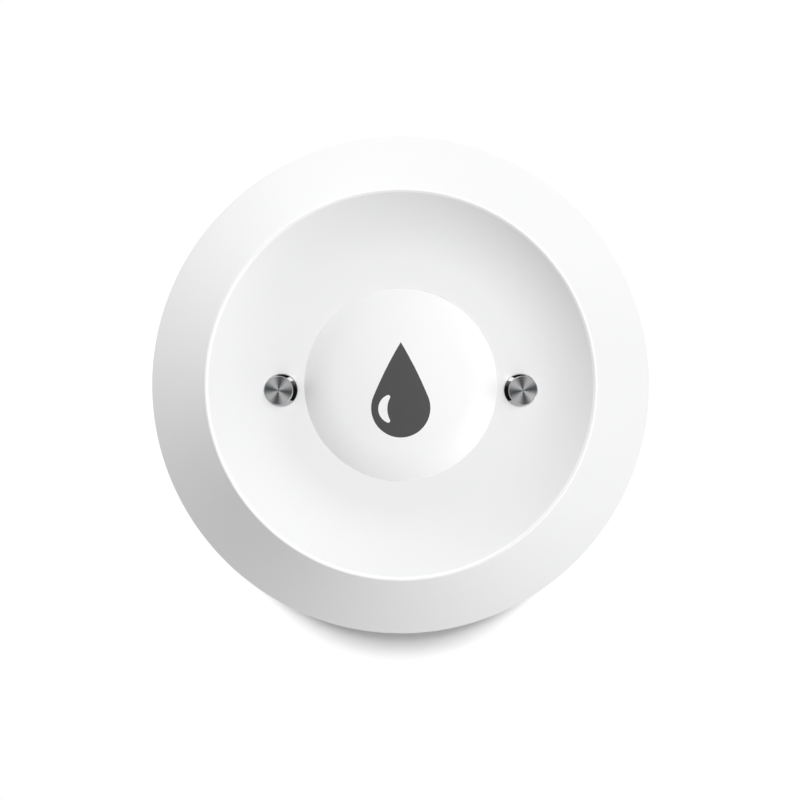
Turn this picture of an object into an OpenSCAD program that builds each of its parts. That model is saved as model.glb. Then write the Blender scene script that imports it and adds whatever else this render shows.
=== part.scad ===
// Round water leak sensor lying on its feet: a drip dish with two steel probe posts on top, a domed
// push button with a drop mark in the middle, floor probes and a twist-lock battery door underneath.
// Millimetres. Origin on the floor under the middle of the case, Z up out of the marked face,
// Y toward the tip of the drop.

/* [Case] */
// Outside diameter of the case
body_d = 65; // [64:0.5:70]
// Height of the rim edge above the floor
body_h = 18; // [16:0.5:21]
// Diameter of the rim edge round the drip dish
rim_d = 46.6; // [45:0.2:48]
// How far the flare hollows in from a straight slope
flare_hollow = 0.5; // [0.2:0.1:0.8]
// Rounding of the rim edge
rim_round = 0.3; // [0.2:0.05:0.4]
// Height of the top shell's upright band
band_h = 1; // [0.8:0.1:1.3]
// Wall thickness of the top shell
wall = 2; // [1.8:0.1:2.1]
// Thickness of the base floor
base_t = 1.8; // [1.7:0.1:1.9]
// Height of the base from its underside to the parting line
base_h = 3; // [2.9:0.1:3.3]
// Rounding of the base's lower edge
base_round = 1.5; // [1:0.1:1.8]
// Break of the two edges at the parting line
seam_break = 0.2; // [0.1:0.05:0.3]

/* [Drip dish] */
// Depth of the dish below the rim edge
dish_depth = 3.1; // [2.9:0.1:3.2]
// Diameter of the dish's flat floor
dish_floor_d = 30; // [29:0.5:31]

/* [Button] */
// Diameter of the button
button_d = 23.5; // [22.5:0.1:23.8]
// Radius of the dome's crown
crown_r = 40; // [34:1:60]
// Share of the button's radius that the crown takes
crown_share = 0.68; // [0.6:0.01:0.72]
// Radius of the dome's shoulder
shoulder_r = 8.5; // [8:0.1:10]
// Wall thickness of the button
button_wall = 1.6; // [1.4:0.1:1.8]
// Travel of the button
button_travel = 0.4; // [0.3:0.05:0.4]

/* [Drop mark] */
// Radius of the drop's round end
drop_r = 3.55; // [3:0.05:3.8]
// Height of the drop's tip above the middle of its round end
drop_tip = 7.9; // [7.4:0.1:8.4]
// Radius of the drop's nearly straight sides
drop_side_r = 50; // [40:1:80]
// Distance of the round end's middle below the middle of the button
drop_low = 2.8; // [2.4:0.1:3.2]
// Depth of the inlaid mark
mark_depth = 0.4; // [0.3:0.05:0.5]
// Outer radius of the light glint in the drop
glint_r = 1.78; // [1.7:0.02:1.9]
// Radius that hollows the glint
glint_hollow_r = 2.84; // [2.6:0.02:3]
// Rounding of the glint's two ends
glint_round = 0.24; // [0.16:0.02:0.3]
// Distance of the glint's middle left of the drop's middle
glint_left = 0.91; // [0.8:0.01:1]
// Distance of the hollow's middle right of the drop's middle
glint_hollow_right = 1.23; // [1.1:0.01:1.4]
// Distance of the glint's middle below the drop's middle
glint_low = 0.1; // [0:0.05:0.3]

/* [Top probes] */
// Diameter of a probe post at its top
probe_d = 3.5; // [3.2:0.1:3.6]
// Diameter of a probe post at its foot
probe_foot_d = 3.9; // [3.6:0.1:4]
// Height of a probe post above the dish floor
probe_proud = 3.2; // [2.8:0.1:3.6]
// Distance of a probe post from the middle, sideways
probe_x = 14.55; // [14.5:0.05:15]
// Distance of the probe posts below the middle line
probe_low = 0.7; // [0:0.1:1]

/* [Underside] */
// Height of the feet below the base
foot_proud = 1; // [0.9:0.05:1.1]
// Diameter of a rubber foot
foot_d = 8; // [6:0.5:8]
// Distance of the feet in from the edge of the case
foot_in = 8; // [7.9:0.1:8.5]
// Height of a floor probe below the base
floor_probe_proud = 0.7; // [0.4:0.1:0.8]
// Diameter of a floor probe's head
floor_probe_d = 5; // [4.6:0.1:6]
// Distance of the floor probes out from the edge of the door
floor_probe_out = 4.8; // [4.4:0.1:5]

/* [Battery] */
// Diameter of the coin cell
cell_d = 24.5; // [23:0.5:24.5]
// Thickness of the coin cell
cell_t = 5; // [4.4:0.1:5]
// Diameter of the battery door
door_d = 32.4; // [29:0.1:36]
// Thickness of the door's plate
door_t = 1.6; // [1.5:0.05:1.6]
// Length of the coin slot
slot_l = 14; // [10:1:18]
// Width of the coin slot
slot_w = 1.8; // [1.6:0.1:2.2]
// Depth of the coin slot
slot_depth = 1; // [0.7:0.1:1.1]
// Turn that opens the door
door_turn = 30; // [30:1:32]

/* [Board] */
// Diameter of the circuit board
board_d = 45; // [44:0.5:46]
// Thickness of the circuit board
board_t = 1.2; // [1:0.1:1.2]

/* [Hidden] */
$fn = 96;
// segments of the widest arcs
fine = 240;

// fits
seam_gap = 0.1;
button_gap = 0.04;
post_gap = 0.2;
groove_gap = 0.1;
shank_gap = 0.05;
seal_gap = 0.05;
door_gap = 0.2;
lug_gap = 0.2;
cell_gap = 0.1;
cell_side_gap = 0.2;
recess_gap = 0.1;
key_gap = 0.3;
plunger_gap = 0.1;
well_gap = 0.15;
board_hole_gap = 0.25;
holder_gap = 0.4;
guide_gap = 0.1;
o_ring_gap = 0.04;

// overshoot of a cutter past the face it opens
over = 1;

// levels of the case, from the floor up
base_z = foot_proud;
base_top = base_z + base_t;
seam_z = base_z + base_h;
band_top = seam_z + band_h;
shell_z = seam_z + seam_gap;
dish_z = body_h - dish_depth;
under_z = dish_z - wall;
door_top = base_z + door_t;
ledge_t = 1.2;
ledge_top = base_top + ledge_t;
lug_t = 1;
neck_top = ledge_top + lug_gap + lug_t;

// stack between the door and the dish: its listed heights are stretched alike to fill the case
door_rib_h = 1;
contact_h = 0.7;
board_room = 2.3;
stack_h = door_rib_h + cell_gap + cell_t + contact_h + board_t + board_room;
tall = (under_z - door_top) / stack_h;
rib_top = door_top + tall * door_rib_h;
cell_z = rib_top + tall * cell_gap;
cell_top = cell_z + tall * cell_t;
board_z = cell_top + tall * contact_h;
board_top = board_z + tall * board_t;

// radii of the case
body_r = body_d / 2;
rim_r = rim_d / 2;
dish_floor_r = dish_floor_d / 2;
groove_in = 1.4;
groove_w = 1.2;
groove_depth = 1.2;
gasket_t = 0.7;
land_w = 1.3;
groove_r1 = body_r - groove_in;
groove_r0 = groove_r1 - groove_w;
land_r = groove_r0 - land_w;
groove_z = seam_z - groove_depth;

// dish arc, level at the edge of the flat floor and passing through the rim edge
dish_run = rim_r - dish_floor_r;
dish_arc_r = (dish_run * dish_run + dish_depth * dish_depth) / (2 * dish_depth);
dish_c = [dish_floor_r, dish_z + dish_arc_r];

// flare arc from the band to the rim edge, hollow toward the outside
flare_a = [body_r, band_top];
flare_b = [rim_r, body_h];
flare_l = norm(flare_b - flare_a);
flare_dir = (flare_b - flare_a) / flare_l;
flare_out = [flare_dir[1], -flare_dir[0]];
flare_r = (flare_l * flare_l / 4 + flare_hollow * flare_hollow) / (2 * flare_hollow);
flare_c = (flare_a + flare_b) / 2 + flare_out * (flare_r - flare_hollow);

// rim rounding, tangent to both arcs
rim_c = low_meet(dish_c, dish_arc_r + rim_round, flare_c, flare_r + rim_round);
rim_to_dish = (dish_c - rim_c) / norm(dish_c - rim_c);
rim_to_flare = (flare_c - rim_c) / norm(flare_c - rim_c);
rim_to_edge = (flare_b - rim_c) / norm(flare_b - rim_c);
rim_tip = [
    rim_c,
    rim_c + rim_to_dish * 2 * rim_round,
    rim_c + rim_to_edge * 4 * rim_round,
    rim_c + rim_to_flare * 2 * rim_round
];

// button dome: a crown and a tighter shoulder, tangent where they meet, ending level with the dish floor
button_r = button_d / 2;
hole_r = button_r + button_gap;
crown_edge_r = button_r * crown_share;
crown_tilt = asin(crown_edge_r / crown_r);
shoulder_c_r = crown_edge_r - shoulder_r * sin(crown_tilt);
shoulder_rise = sqrt(shoulder_r * shoulder_r - pow(button_r - shoulder_c_r, 2));
shoulder_c_z = dish_z - shoulder_rise;
crown_c_z = shoulder_c_z - (crown_r - shoulder_r) * cos(crown_tilt);
apex_z = crown_c_z + crown_r;

// drop mark: its sides are wide arcs, tangent to the round end and meeting at the tip
drop_join = asin(
    (2 * drop_side_r * drop_r - drop_r * drop_r - drop_tip * drop_tip)
    / (2 * drop_tip * (drop_side_r - drop_r))
);
drop_side_c = -(drop_side_r - drop_r) * [cos(drop_join), sin(drop_join)];
drop_side_turn = atan2(drop_tip - drop_side_c[1], -drop_side_c[0]) - drop_join;
drop_side_steps = 8;
drop_round_steps = 48;

// light glint: an outer arc and a hollow arc, joined by ends that are round
glint_mid = [-glint_left, 0];
glint_hollow_mid = [glint_hollow_right, 0];
glint_end = low_meet(glint_mid, glint_r - glint_round, glint_hollow_mid, glint_hollow_r + glint_round);
glint_turn = atan2(-glint_end[1], glint_end[0] + glint_left);
glint_hollow_turn = atan2(-glint_end[1], glint_end[0] - glint_hollow_right);
glint_side_steps = 24;
glint_end_steps = 12;

// pocket of the mark
mark_far_r = drop_low + drop_r;
mark_z = crown_c_z + sqrt(crown_r * crown_r - mark_far_r * mark_far_r) - mark_depth;

// button skirt, flange and key
skirt_w = 1.55;
skirt_in_r = button_r - skirt_w;
flange_lap = 0.65;
flange_r = button_r + flange_lap;
flange_t = 0.8;
seal_t = 0.65;
flange_top = under_z - seal_gap - tall * seal_t;
flange_z = flange_top - tall * flange_t;
seal_out_r = flange_r - seal_gap;
key_w = 2.4;
key_lap = 0.9;
key_out_r = flange_r + key_lap;
guide_t = 1;
guide_in = 0.35;
guide_lap = 1.3;
guide_x = key_w / 2 + key_gap + guide_t / 2;
guide_r0 = flange_r + guide_in;
guide_r1 = key_out_r + guide_lap;
guide_z = flange_z - button_travel - guide_gap;
rib_t = 1;

// tact switch on the board
switch_w = 6;
switch_h = 3.1;
plunger_r = 1.75;
plunger_h = 1.2;
plunger_sink = 0.7;
plunger_room = 0.35;
switch_top = board_top + tall * switch_h;
plunger_top = switch_top + tall * plunger_h;
post_r = 2.2;
post_z = plunger_top + post_gap;
switch_leg_l = 1.3;
switch_leg_w = 0.7;
switch_leg_t = 0.2;
switch_leg_y = 2.25;

// probe posts and the standoffs that hold them
probe_r = probe_d / 2;
probe_foot_r = probe_foot_d / 2;
probe_top = dish_z + probe_proud;
probe_break = 0.12;
probe_sink = 0.2;
probe_shank_r = 1.25;
probe_hole_r = probe_shank_r + shank_gap;
probe_seat_r = probe_foot_r + recess_gap;
probe_ring_r = 0.28;
probe_seat_z = dish_z - probe_sink - 2 * probe_ring_r;
probe_rest = 0.4;
probe_shank_z = board_top + tall * probe_rest;
standoff_r = 1.7;
standoff_floor = 0.2;
standoff_bore_z = board_top + tall * standoff_floor;

// case screws and their bosses
screw_count = 3;
screw_turn = 30;
screw_in = 6.7;
screw_ring_r = body_r - screw_in;
screw_r = 1.25;
screw_l = 4.5;
screw_head_r = 2.25;
screw_head_t = 1.3;
screw_recess = 0.3;
screw_well_r = screw_head_r + well_gap;
screw_seat_z = base_z + screw_recess + screw_head_t;
screw_pad_r = 3.4;
screw_pad_h = 1;
screw_pad_top = base_top + screw_pad_h;
screw_top = screw_seat_z + tall * screw_l;
boss_r = 2.7;
boss_roof = 1.4;
boss_top = screw_top + boss_roof;
pilot_r = screw_r + shank_gap;
pilot_spare = 0.4;
pilot_top = screw_top + pilot_spare;
cross_w = 0.55;
cross_l = 2.6;
cross_depth = 0.7;

// battery bay: its listed widths from the middle to the door's edge are stretched alike to fill the door
neck_w = 1.15;
lug_w = 1.1;
door_rim_w = 1.5;
door_r = door_d / 2;
bay_w = cell_d / 2 + cell_side_gap + neck_w + lug_w + door_rim_w;
wide = door_r / bay_w;
cell_r = wide * cell_d / 2;
neck_in_r = cell_r + wide * cell_side_gap;
neck_r = neck_in_r + wide * neck_w;
lug_out_r = neck_r + wide * lug_w;

// battery door and the ledge it locks on
opening_r = door_r + door_gap;
door_break = 0.3;
ledge_lap = 1.4;
ledge_in_r = neck_r + door_gap;
ledge_out_r = opening_r + ledge_lap;
lug_angle = 26;
lug_count = 3;
lug_turn = 90;
notch_angle = 29;
notch_out_r = lug_out_r + door_gap;
bay_step = 0.3;
bay_wall = 1.4;
bay_in_r = notch_out_r + bay_step;
bay_out_r = bay_in_r + bay_wall;
bay_top = neck_top + holder_gap;
stop_angle = 5;
stop_gap_angle = 1.3;
open_stop_gap_angle = 0.5;
stop_h = 0.9;
stop_step = 0.2;
stop_in_r = ledge_in_r + stop_step;
stop_out_r = (bay_in_r + bay_out_r) / 2;
o_ring_r = 0.38;
o_ring_mid_r = (notch_out_r + opening_r) / 2;
o_groove_spare = 0.07;
o_groove_w = 2 * (o_ring_r + o_groove_spare);
o_groove_z = base_top - o_ring_gap - 2 * o_ring_r;
door_rib_w = 2;
door_rib_ring_r = 8;
index_r = 0.6;
index_depth = 0.3;
index_in = 1.7;
index_out = 2;

// battery holder and contacts
cell_break = 0.5;
cell_cap_in = 1.5;
cell_cap_r = cell_r - cell_cap_in;
cell_can_drop = 0.25;
cell_seal_w = 0.3;
cell_seal_drop = 0.4;
holder_w = 1.55;
holder_in_r = cell_r + cell_side_gap;
holder_out_r = holder_in_r + holder_w;
holder_z = neck_top + holder_gap;
holder_window = 4.2;
leaf_t = 0.2;
leaf_w = 3;
leaf_turn = 225;
leaf_bow = 0.6;
leaf_foot_l = 1.5;
leaf_drop = 2.4;
leaf_touch_drop = 1.6;
leaf_back_r = cell_r + leaf_bow;
leaf_foot_r = holder_out_r + leaf_foot_l;
leaf_low_z = cell_top - tall * leaf_drop;
leaf_touch_z = cell_top - tall * leaf_touch_drop;
spring_w = 4;
spring_foot_l = 4;
spring_arm_l = 6;
spring_pad_l = 1;

// floor probes, set out from the door
floor_probe_r = floor_probe_d / 2;
floor_probe_x = door_r + floor_probe_out;
floor_probe_break = 0.25;
floor_ring_r = 0.35;
floor_ring_mid_r = probe_shank_r + floor_ring_r;
floor_seat_r = floor_ring_mid_r + floor_ring_r + recess_gap;
floor_shank_l = 2.6;
floor_bore_spare = 0.4;
floor_shank_top = base_top + floor_shank_l;
floor_bore_top = floor_shank_top + floor_bore_spare;
floor_standoff_d = 5;

// feet, set in from the edge of the case
foot_r = foot_d / 2;
foot_ring_r = body_r - foot_in;
foot_sink = 0.6;
foot_round = 0.4;
foot_count = 3;
foot_turn = 90;

// board, its posts and screws
board_r = board_d / 2;
board_post_angles = [45, 135, 270];
board_post_r = 2.2;
board_post_gap = 0.2;
board_post_ring_r = opening_r + board_post_gap + board_post_r;
board_screw_r = 0.85;
board_screw_l = 5;
board_screw_head_r = 1.8;
board_screw_head_t = 1.2;
board_hole_r = board_screw_r + board_hole_gap;
board_pilot_r = board_screw_r + shank_gap;
board_cross_l = 2.2;

// parts on the board
radio_w = 11;
radio_l = 8;
radio_t = 0.6;
radio_y = 17.6;
radio_top = board_top + tall * radio_t;
shield_w = 9.4;
shield_l = 5.4;
shield_h = 1.3;
shield_back = 0.9;
shield_y = radio_y - shield_back;
led_y = 7.5;
led_w = 1.6;
led_l = 0.8;
led_h = 0.6;
chip_w = 5;
chip_h = 0.9;
chip_x = 9;
chip_y = 14.5;
bit_w = 1;
bit_l = 0.5;
bit_h = 0.5;
bit_in = 3.6;
bit_ring_r = board_post_ring_r - bit_in;
bit_first_angle = 22;
bit_step_angle = 8;
bit_count = 5;

// The lower crossing of two circles
function low_meet(a, ra, b, rb) =
    let (
        d = norm(b - a),
        u = (b - a) / d,
        k = (d * d + ra * ra - rb * rb) / (2 * d),
        h = sqrt(ra * ra - k * k)
    )
    a + u * k + [u[1], -u[0]] * h;

// Colours
white_plastic = [0.93, 0.93, 0.93];
mark_grey = [0.31, 0.31, 0.31];
steel = [0.72, 0.73, 0.75];
brass = [0.83, 0.66, 0.35];
black_rubber = [0.12, 0.12, 0.13];
red_silicone = [0.7, 0.25, 0.2];
board_green = [0.1, 0.4, 0.25];
chip_black = [0.1, 0.1, 0.11];

// A ring of rectangular section
module band(r0, r1, z0, z1) {
    rotate_extrude()
        translate([r0, z0])
            square([r1 - r0, z1 - z0]);
}

// A sector of such a ring, centred on an angle
module sector(r0, r1, z0, z1, mid, span) {
    rotate([0, 0, mid - span / 2])
        rotate_extrude(angle = span)
            translate([r0, z0])
                square([r1 - r0, z1 - z0]);
}

// A round seal
module seal_ring(mid_r, ring_r) {
    rotate_extrude()
        translate([mid_r, 0])
            circle(ring_r);
}

// Children at both probe posts
module at_probes() {
    for (side = [-1, 1])
        translate([side * probe_x, -probe_low, 0])
            children();
}

// Children at both floor probes
module at_floor_probes() {
    for (side = [-1, 1])
        translate([side * floor_probe_x, 0, 0])
            children();
}

// Children at each case screw
module at_case_screws() {
    for (i = [0 : screw_count - 1])
        rotate([0, 0, screw_turn + i * 360 / screw_count])
            translate([screw_ring_r, 0, 0])
                children();
}

// Children at each foot
module at_feet() {
    for (i = [0 : foot_count - 1])
        rotate([0, 0, foot_turn + i * 360 / foot_count])
            translate([foot_ring_r, 0, 0])
                children();
}

// Children at each board screw
module at_board_posts() {
    for (angle = board_post_angles)
        rotate([0, 0, angle])
            translate([board_post_ring_r, 0, 0])
                children();
}

// The space of the dish, grown downward by a wall
module dish_area(grow) {
    translate([0, dish_z - grow])
        square([dish_floor_r, body_h]);
    intersection() {
        translate(dish_c)
            circle(dish_arc_r + grow);
        translate([dish_floor_r, dish_z - grow - over])
            square([body_r, body_h]);
    }
}

// The space outside the flare, grown inward by a wall
module flare_area(grow) {
    translate(flare_c)
        circle(flare_r + grow);
}

// Section of the top shell
module shell_section() {
    difference() {
        translate([hole_r, shell_z])
            square([body_r - hole_r, body_h - shell_z]);
        flare_area(0);
        dish_area(0);
        polygon(rim_tip);
        difference() {
            translate([0, shell_z - over])
                square([groove_r0, body_h - shell_z]);
            flare_area(wall);
            dish_area(wall);
        }
        polygon([
            [body_r - seam_break, shell_z - over],
            [body_r - seam_break, shell_z],
            [body_r, shell_z + seam_break],
            [body_r + over, shell_z + seam_break],
            [body_r + over, shell_z - over]
        ]);
    }
    intersection() {
        translate(rim_c)
            circle(rim_round);
        polygon(rim_tip);
    }
    translate([groove_r0 + groove_gap, groove_z + gasket_t])
        square([groove_r1 - groove_r0 - 2 * groove_gap, shell_z - groove_z - gasket_t]);
}

module top_shell() {
    color(white_plastic)
        difference() {
            union() {
                rotate_extrude()
                    shell_section();
                at_case_screws()
                    translate([0, 0, screw_pad_top])
                        cylinder(r = boss_r, h = boss_top - screw_pad_top);
                for (side = [-1, 1])
                    translate([side * guide_x - guide_t / 2, -guide_r1, guide_z])
                        cube([guide_t, guide_r1 - guide_r0, under_z - guide_z + wall / 2]);
            }
            at_case_screws()
                translate([0, 0, screw_pad_top - over])
                    cylinder(r = pilot_r, h = pilot_top - screw_pad_top + over);
            at_probes() {
                translate([0, 0, under_z - over])
                    cylinder(r = probe_hole_r, h = wall + over);
                translate([0, 0, probe_seat_z])
                    cylinder(r = probe_seat_r, h = wall);
            }
        }
}

// Section of the base, from the door opening to the outer wall
module base_section() {
    corner = [body_r - base_round, base_z + base_round];
    difference() {
        polygon([
            [opening_r, base_z],
            [body_r, base_z],
            [body_r, seam_z - seam_break],
            [body_r - seam_break, seam_z],
            [land_r, seam_z],
            [land_r, base_top],
            [ledge_out_r, base_top],
            [ledge_out_r, ledge_top],
            [bay_out_r, ledge_top],
            [bay_out_r, bay_top],
            [bay_in_r, bay_top],
            [bay_in_r, ledge_top],
            [ledge_in_r, ledge_top],
            [ledge_in_r, base_top],
            [opening_r, base_top]
        ]);
        translate([corner[0], base_z - over])
            square([base_round + over, base_round + over]);
    }
    intersection() {
        translate(corner)
            circle(base_round);
        translate([corner[0], base_z - over])
            square([base_round + over, base_round + over]);
    }
}

module base_shell() {
    color(white_plastic)
        difference() {
            union() {
                rotate_extrude()
                    base_section();
                at_case_screws()
                    translate([0, 0, base_z + base_t / 2])
                        cylinder(r = screw_pad_r, h = screw_pad_top - base_z - base_t / 2);
                at_board_posts()
                    translate([0, 0, base_z + base_t / 2])
                        cylinder(r = board_post_r, h = board_z - base_z - base_t / 2);
                for (i = [0 : lug_count - 1])
                    base_stops(lug_turn + i * 360 / lug_count);
            }
            band(groove_r0, groove_r1, groove_z, seam_z + over);
            at_case_screws() {
                translate([0, 0, base_z - over])
                    cylinder(r = screw_well_r, h = screw_seat_z - base_z + over);
                translate([0, 0, base_z])
                    cylinder(r = pilot_r, h = screw_pad_top - base_z + over);
            }
            at_board_posts()
                translate([0, 0, board_z - board_screw_l])
                    cylinder(r = board_pilot_r, h = board_screw_l + over);
            at_feet()
                translate([0, 0, base_z - over])
                    cylinder(r = foot_r + recess_gap, h = foot_sink + over);
            at_floor_probes() {
                translate([0, 0, base_z - over])
                    cylinder(r = probe_hole_r, h = base_t + 2 * over);
                translate([0, 0, base_z - over])
                    cylinder(r = floor_seat_r, h = 2 * floor_ring_r + over);
            }
            for (i = [0 : lug_count - 1])
                sector(
                    ledge_in_r - over, notch_out_r, base_top - over, ledge_top + over,
                    lug_turn - door_turn + i * 360 / lug_count, notch_angle
                );
            for (turn = [0, -door_turn])
                rotate([0, 0, lug_turn + turn])
                    translate([opening_r + index_out, 0, base_z - over])
                        cylinder(r = index_r, h = index_depth + over);
        }
}

// The two stops that end a lug's turn
module base_stops(mid) {
    for (at = [
        mid + lug_angle / 2 + stop_gap_angle + stop_angle / 2,
        mid - door_turn - notch_angle / 2 - open_stop_gap_angle - stop_angle / 2
    ])
        sector(stop_in_r, stop_out_r, ledge_top - ledge_t / 2, ledge_top + stop_h, at, stop_angle);
}

module case_gasket() {
    color(red_silicone)
        band(groove_r0 + shank_gap, groove_r1 - shank_gap, groove_z, groove_z + gasket_t);
}

// A cross-head screw with its head down and its seat at the origin
module screw(shank_r, shank_l, head_r, head_t, slot) {
    difference() {
        union() {
            cylinder(r = shank_r, h = shank_l);
            rotate_extrude()
                polygon([
                    [0, -head_t],
                    [head_r * 0.6, -head_t],
                    [head_r, -head_t * 0.55],
                    [head_r, 0],
                    [0, 0]
                ]);
        }
        for (turn = [0, 90])
            rotate([0, 0, turn])
                translate([-slot / 2, -cross_w / 2, -head_t - over])
                    cube([slot, cross_w, cross_depth + over]);
    }
}

module case_screws() {
    color(steel)
        at_case_screws()
            translate([0, 0, screw_seat_z])
                screw(screw_r, tall * screw_l, screw_head_r, screw_head_t, cross_l);
}

module rubber_feet() {
    color(black_rubber)
        at_feet()
            rotate_extrude()
                polygon([
                    [0, 0],
                    [foot_r - foot_round, 0],
                    [foot_r, foot_round],
                    [foot_r, base_z + foot_sink],
                    [0, base_z + foot_sink]
                ]);
}

module battery_door() {
    color(white_plastic)
        difference() {
            union() {
                rotate_extrude()
                    difference() {
                        polygon([
                            [0, base_z],
                            [door_r - door_break, base_z],
                            [door_r, base_z + door_break],
                            [door_r, door_top],
                            [neck_r, door_top],
                            [neck_r, neck_top],
                            [neck_in_r, neck_top],
                            [neck_in_r, door_top],
                            [0, door_top]
                        ]);
                        translate([o_ring_mid_r - o_groove_w / 2, o_groove_z])
                            square([o_groove_w, door_top]);
                    }
                for (i = [0 : lug_count - 1])
                    sector(
                        (neck_in_r + neck_r) / 2, lug_out_r, neck_top - lug_t, neck_top,
                        lug_turn + i * 360 / lug_count, lug_angle
                    );
                band(
                    door_rib_ring_r - door_rib_w / 2, door_rib_ring_r + door_rib_w / 2,
                    door_top - door_t / 4, rib_top
                );
                translate([-slot_l / 2, -door_rib_w, door_top - door_t / 4])
                    cube([slot_l, 2 * door_rib_w, rib_top - door_top + door_t / 4]);
            }
            translate([-slot_l / 2, -slot_w / 2, base_z - over])
                cube([slot_l, slot_w, slot_depth + over]);
            rotate([0, 0, lug_turn])
                translate([door_r - index_in, 0, base_z - over])
                    cylinder(r = index_r, h = index_depth + over);
        }
}

module door_o_ring() {
    color(red_silicone)
        translate([0, 0, o_groove_z + o_ring_r])
            seal_ring(o_ring_mid_r, o_ring_r);
}

// Section under the dome, drawn in by a wall and ending at a floor and at a side
module dome_area(inset, floor_z, side_r) {
    split_r = crown_edge_r - inset * sin(crown_tilt);
    intersection() {
        translate([0, crown_c_z])
            circle(crown_r - inset, $fn = fine);
        translate([0, floor_z])
            square([split_r, body_h]);
    }
    intersection() {
        translate([shoulder_c_r, shoulder_c_z])
            circle(shoulder_r - inset);
        translate([split_r, floor_z])
            square([side_r - split_r, body_h]);
    }
}

// Points along an arc, without its last one
function arc_points(mid, r, from, to, steps) =
    [for (i = [0 : steps - 1])
        let (turn = from + i * (to - from) / steps)
        mid + r * [cos(turn), sin(turn)]];

// Outline of the glint: outer arc, lower end, hollow and upper end
module glint_outline() {
    polygon(concat(
        arc_points(glint_mid, glint_r, glint_turn, 360 - glint_turn, glint_side_steps),
        arc_points(glint_end, glint_round, 360 - glint_turn, 540 - glint_hollow_turn, glint_end_steps),
        arc_points(
            glint_hollow_mid, glint_hollow_r, 360 - glint_hollow_turn, glint_hollow_turn, glint_side_steps
        ),
        arc_points(
            [glint_end[0], -glint_end[1]], glint_round, glint_hollow_turn - 180, glint_turn, glint_end_steps
        )
    ));
}

// Outline of the drop without its light glint
module drop_outline() {
    round_end = arc_points([0, 0], drop_r, 180 - drop_join, 360 + drop_join, drop_round_steps);
    right = arc_points(drop_side_c, drop_side_r, drop_join, drop_join + drop_side_turn, drop_side_steps);
    left = [for (i = [drop_side_steps - 1 : -1 : 1]) [-right[i][0], right[i][1]]];
    difference() {
        polygon(concat(round_end, right, [[0, drop_tip]], left));
        translate([0, -glint_low])
            glint_outline();
    }
}

// The drop as a column that starts at the floor of its pocket
module drop_column() {
    translate([0, -drop_low, mark_z])
        linear_extrude(body_h)
            drop_outline();
}

module button_cap() {
    color(white_plastic)
        difference() {
            union() {
                rotate_extrude() {
                    difference() {
                        dome_area(0, flange_z, button_r);
                        dome_area(button_wall, flange_z - over, skirt_in_r);
                    }
                    translate([button_r - button_gap, flange_z])
                        square([flange_r - button_r + button_gap, flange_top - flange_z]);
                }
                translate([-key_w / 2, -key_out_r, flange_z])
                    cube([key_w, key_out_r - button_r + button_gap, flange_top - flange_z]);
                translate([0, 0, post_z])
                    cylinder(r = post_r, h = apex_z - button_wall / 2 - post_z);
                intersection() {
                    for (turn = [0, 90])
                        rotate([0, 0, turn])
                            translate([-button_r, -rib_t / 2, post_z])
                                cube([button_d, rib_t, body_h]);
                    rotate_extrude()
                        dome_area(button_wall / 2, switch_top, button_r - button_wall / 2);
                }
            }
            drop_column();
        }
}

module drop_mark() {
    color(mark_grey)
        intersection() {
            rotate_extrude()
                dome_area(0, dish_z, button_r);
            drop_column();
        }
}

module button_seal() {
    color(red_silicone)
        band(button_r, seal_out_r, flange_top, under_z - seal_gap);
}

// One probe post with its shank
module top_probe() {
    rotate_extrude()
        polygon([
            [0, probe_shank_z],
            [probe_shank_r, probe_shank_z],
            [probe_shank_r, dish_z - probe_sink],
            [probe_foot_r, dish_z - probe_sink],
            [probe_foot_r, dish_z],
            [probe_r, probe_top - probe_break],
            [probe_r - probe_break, probe_top],
            [0, probe_top]
        ]);
}

module top_probe_left() {
    color(steel)
        translate([-probe_x, -probe_low, 0])
            top_probe();
}

module top_probe_right() {
    color(steel)
        translate([probe_x, -probe_low, 0])
            top_probe();
}

module probe_o_rings() {
    color(black_rubber)
        at_probes()
            translate([0, 0, probe_seat_z + probe_ring_r])
                seal_ring(probe_shank_r + probe_ring_r, probe_ring_r);
}

module probe_standoffs() {
    color(brass)
        at_probes()
            difference() {
                translate([0, 0, board_top])
                    cylinder(r = standoff_r, h = under_z - board_top);
                translate([0, 0, standoff_bore_z])
                    cylinder(r = probe_hole_r, h = under_z - standoff_bore_z + over);
            }
}

module floor_probes() {
    color(steel)
        at_floor_probes()
            rotate_extrude()
                polygon([
                    [0, base_z - floor_probe_proud],
                    [floor_probe_r - floor_probe_break, base_z - floor_probe_proud],
                    [floor_probe_r, base_z - floor_probe_proud + floor_probe_break],
                    [floor_probe_r, base_z],
                    [probe_shank_r, base_z],
                    [probe_shank_r, floor_shank_top],
                    [0, floor_shank_top]
                ]);
}

module floor_probe_o_rings() {
    color(black_rubber)
        at_floor_probes()
            translate([0, 0, base_z + floor_ring_r])
                seal_ring(floor_ring_mid_r, floor_ring_r);
}

module floor_probe_standoffs() {
    color(brass)
        at_floor_probes()
            difference() {
                translate([0, 0, base_top])
                    cylinder(d = floor_standoff_d, h = board_z - base_top, $fn = 6);
                translate([0, 0, base_top - over])
                    cylinder(r = probe_hole_r, h = floor_bore_top - base_top + over);
            }
}

module circuit_board() {
    color(board_green)
        difference() {
            translate([0, 0, board_z])
                cylinder(r = board_r, h = board_top - board_z);
            at_board_posts()
                translate([0, 0, board_z - over])
                    cylinder(r = board_hole_r, h = board_top - board_z + 2 * over);
        }
}

module board_screws() {
    color(steel)
        at_board_posts()
            translate([0, 0, board_top])
                rotate([180, 0, 0])
                    screw(
                        board_screw_r, board_screw_l, board_screw_head_r, board_screw_head_t, board_cross_l
                    );
}

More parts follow.
